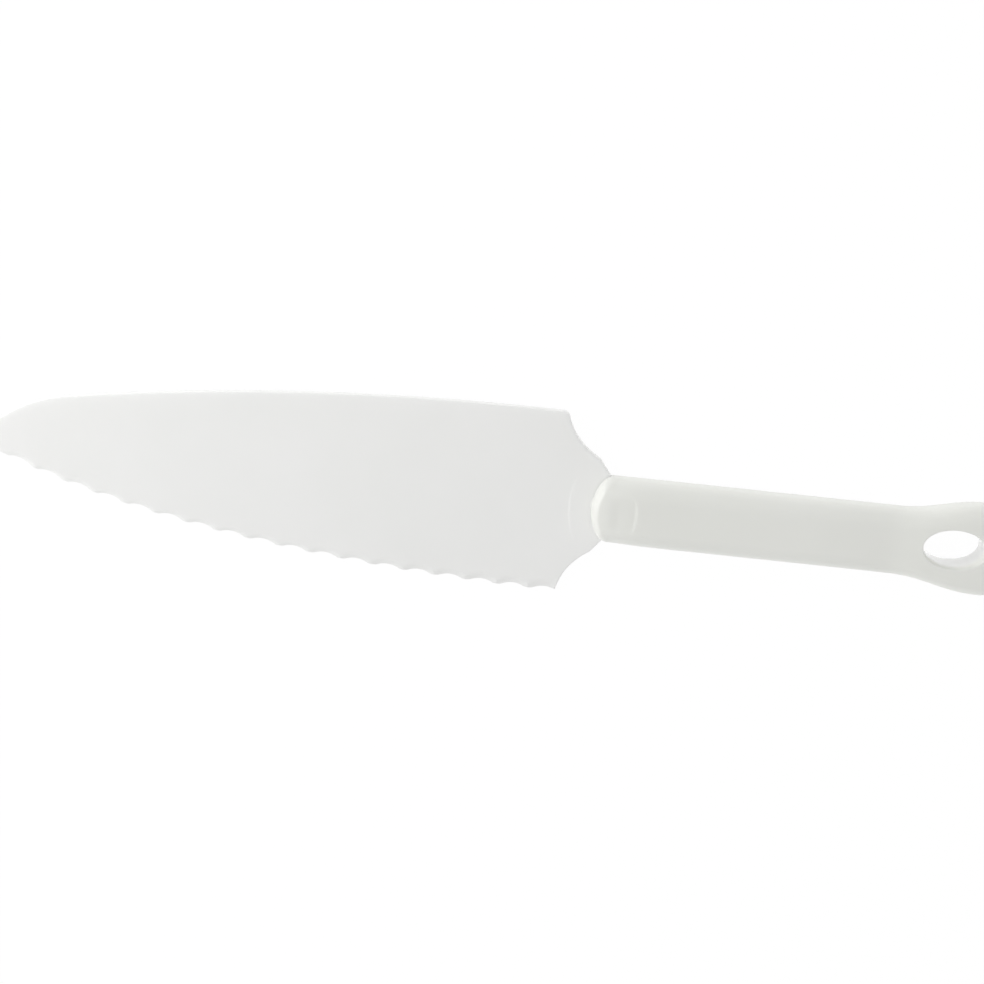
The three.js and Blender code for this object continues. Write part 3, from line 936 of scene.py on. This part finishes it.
def add_noise(material, scale, detail):
    """A noise that is fixed to the object."""
    nodes = material.node_tree.nodes
    noise = nodes.new("ShaderNodeTexNoise")
    noise.inputs["Scale"].default_value = scale
    noise.inputs["Detail"].default_value = detail
    place = nodes.new("ShaderNodeTexCoord").outputs["Object"]
    material.node_tree.links.new(place, noise.inputs["Vector"])
    return noise.outputs["Fac"]


def add_tint(material, pale, deep):
    """A slow drift between two tints."""
    nodes = material.node_tree.nodes
    links = material.node_tree.links
    tint = nodes.new("ShaderNodeValToRGB")
    first, last = tint.color_ramp.elements
    first.position, last.position = TINT_RANGE
    first.color = (*deep, 1)
    last.color = (*pale, 1)
    links.new(add_noise(material, TINT_SCALE, TINT_DETAIL), tint.inputs["Fac"])
    links.new(tint.outputs["Color"], nodes["Principled BSDF"].inputs["Base Color"])


def add_sheen(material):
    """A roughness that varies a little."""
    nodes = material.node_tree.nodes
    links = material.node_tree.links
    sheen = nodes.new("ShaderNodeMapRange")
    sheen.inputs["To Min"].default_value = ROUGHNESS - ROUGHNESS_DRIFT
    sheen.inputs["To Max"].default_value = ROUGHNESS + ROUGHNESS_DRIFT
    links.new(add_noise(material, SHEEN_SCALE, SHEEN_DETAIL), sheen.inputs["Value"])
    links.new(sheen.outputs["Result"], nodes["Principled BSDF"].inputs["Roughness"])


def add_grain(material):
    """The fine grain of the mould."""
    nodes = material.node_tree.nodes
    links = material.node_tree.links
    bump = nodes.new("ShaderNodeBump")
    bump.inputs["Strength"].default_value = GRAIN_STRENGTH
    bump.inputs["Distance"].default_value = GRAIN_HEIGHT * MM
    links.new(add_noise(material, GRAIN_SCALE, GRAIN_DETAIL), bump.inputs["Height"])
    links.new(bump.outputs["Normal"], nodes["Principled BSDF"].inputs["Normal"])


def make_plastic(name, pale, deep, scatter, scatter_reach):
    """Satin moulded plastic: a slow drift of tint, an uneven sheen and a fine grain."""
    material = bpy.data.materials.new(name)
    material.use_nodes = True
    surface = material.node_tree.nodes["Principled BSDF"].inputs
    surface["IOR"].default_value = PLASTIC_IOR
    surface["Subsurface Weight"].default_value = scatter
    surface["Subsurface Radius"].default_value = (1, 1, 1)
    surface["Subsurface Scale"].default_value = scatter_reach * MM
    add_tint(material, pale, deep)
    add_sheen(material)
    add_grain(material)
    return material


def dress(piece, material, node):
    """Gives a piece its material and ties it to the part."""
    piece.data.materials.clear()
    piece.data.materials.append(material)
    piece.data.shade_smooth()
    piece.data.set_sharp_from_angle(angle=SMOOTH_ANGLE)
    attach(piece, "root")
    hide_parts(node)


def floor_material():
    """Matte white that gives a little light, and is nearly plain white where it is seen or mirrored."""
    material = bpy.data.materials.new("studio_white")
    material.use_nodes = True
    nodes = material.node_tree.nodes
    links = material.node_tree.links
    nodes.clear()
    matte = nodes.new("ShaderNodeBsdfDiffuse")
    matte.inputs["Color"].default_value = FLOOR_COLOUR
    light = nodes.new("ShaderNodeEmission")
    light.inputs["Strength"].default_value = FLOOR_LIGHT
    lit = nodes.new("ShaderNodeAddShader")
    links.new(matte.outputs["BSDF"], lit.inputs[0])
    links.new(light.outputs["Emission"], lit.inputs[1])
    white = nodes.new("ShaderNodeEmission")
    white.inputs["Strength"].default_value = 1
    path = nodes.new("ShaderNodeLightPath")
    seen = path.outputs["Is Camera Ray"]
    for ray in ("Is Glossy Ray", "Is Transmission Ray"):
        total = nodes.new("ShaderNodeMath")
        total.operation = "ADD"
        links.new(seen, total.inputs[0])
        links.new(path.outputs[ray], total.inputs[1])
        seen = total.outputs["Value"]
    share = nodes.new("ShaderNodeMath")
    share.operation = "MULTIPLY"
    share.inputs[1].default_value = FLOOR_WHITE
    links.new(seen, share.inputs[0])
    mix = nodes.new("ShaderNodeMixShader")
    links.new(share.outputs["Value"], mix.inputs["Fac"])
    links.new(lit.outputs["Shader"], mix.inputs[1])
    links.new(white.outputs["Emission"], mix.inputs[2])
    out = nodes.new("ShaderNodeOutputMaterial")
    links.new(mix.outputs["Shader"], out.inputs["Surface"])
    return material


def make_floor():
    """A wide white floor that keeps a soft trace of the shadow."""
    skin = Skin()
    skin.sheet([lifted(ring(0, 0, FLOOR_RADIUS, FLOOR_RADIUS), -FLOOR_GAP)])
    floor = skin.finish("floor")
    floor.data.materials.append(floor_material())


def make_tent():
    """White surroundings: a low ring, and a top that is a little brighter and brightest on the left."""
    world = bpy.data.worlds.new("studio")
    bpy.context.scene.world = world
    world.use_nodes = True
    nodes = world.node_tree.nodes
    links = world.node_tree.links
    split = nodes.new("ShaderNodeSeparateXYZ")
    links.new(nodes.new("ShaderNodeTexCoord").outputs["Generated"], split.inputs["Vector"])
    side = nodes.new("ShaderNodeMapRange")
    side.interpolation_type = "SMOOTHSTEP"
    side.inputs["From Min"].default_value = TENT_TURN[0]
    side.inputs["From Max"].default_value = TENT_TURN[1]
    side.inputs["To Min"].default_value = TENT_LEFT
    side.inputs["To Max"].default_value = TENT_RIGHT
    links.new(split.outputs["X"], side.inputs["Value"])
    low_ring = nodes.new("ShaderNodeMapRange")
    low_ring.inputs["From Min"].default_value = -1
    low_ring.inputs["To Min"].default_value = TENT_FRONT
    low_ring.inputs["To Max"].default_value = TENT_BACK
    links.new(split.outputs["Y"], low_ring.inputs["Value"])
    level = nodes.new("ShaderNodeMapRange")
    level.interpolation_type = "SMOOTHSTEP"
    level.inputs["From Min"].default_value = TENT_RISE[0]
    level.inputs["From Max"].default_value = TENT_RISE[1]
    links.new(split.outputs["Z"], level.inputs["Value"])
    links.new(low_ring.outputs["Result"], level.inputs["To Min"])
    links.new(side.outputs["Result"], level.inputs["To Max"])
    background = nodes["Background"]
    background.inputs["Color"].default_value = (1, 1, 1, 1)
    links.new(level.outputs["Result"], background.inputs["Strength"])


def make_lamp():
    """A broad soft lamp, low on the left."""
    data = bpy.data.lights.new("lamp", "AREA")
    data.shape = "RECTANGLE"
    data.size = LAMP_WIDTH * MM
    data.size_y = LAMP_HEIGHT * MM
    data.energy = LAMP_POWER
    lamp = bpy.data.objects.new("lamp", data)
    lamp.location = LAMP_PLACE * MM
    lamp.rotation_euler = (LAMP_AIM - LAMP_PLACE).to_track_quat("-Z", "Y").to_euler()
    bpy.context.scene.collection.objects.link(lamp)


def make_camera():
    """The camera of the photograph."""
    data = bpy.data.cameras.new("camera")
    data.sensor_width = SENSOR
    data.lens = FOCAL_PIXELS / PICTURE_SIZE * SENSOR
    data.clip_start = CLIP_START * MM
    back = Vector((0, math.sin(CAMERA_TILT), math.cos(CAMERA_TILT)))
    level = Vector((1, 0, 0))
    rise = back.cross(level)
    right = level * math.cos(CAMERA_ROLL) + rise * math.sin(CAMERA_ROLL)
    up = back.cross(right)
    place = (CAMERA_TARGET + back * CAMERA_DISTANCE) * MM
    camera = bpy.data.objects.new("camera", data)
    turn = Matrix((right, up, back)).transposed().to_4x4()
    camera.matrix_world = Matrix.Translation(place) @ turn
    bpy.context.scene.collection.objects.link(camera)
    bpy.context.scene.camera = camera


def main():
    blade_plastic = make_plastic(
        "blade_plastic", BLADE_PALE, BLADE_DEEP, BLADE_SCATTER, BLADE_SCATTER_REACH
    )
    handle_plastic = make_plastic(
        "handle_plastic", HANDLE_PALE, HANDLE_DEEP, HANDLE_SCATTER, HANDLE_SCATTER_REACH
    )
    # painted light on the wall of the hang hole
    paint_hole_light(handle_plastic)
    dress(make_blade(), blade_plastic, "blade")
    dress(make_handle_body(), handle_plastic, "handle_body")
    dress(make_back_cover(), handle_plastic, "handle_back_cover")
    make_floor()
    make_tent()
    make_lamp()
    make_camera()
    bpy.context.scene.view_settings.view_transform = "Standard"


main()
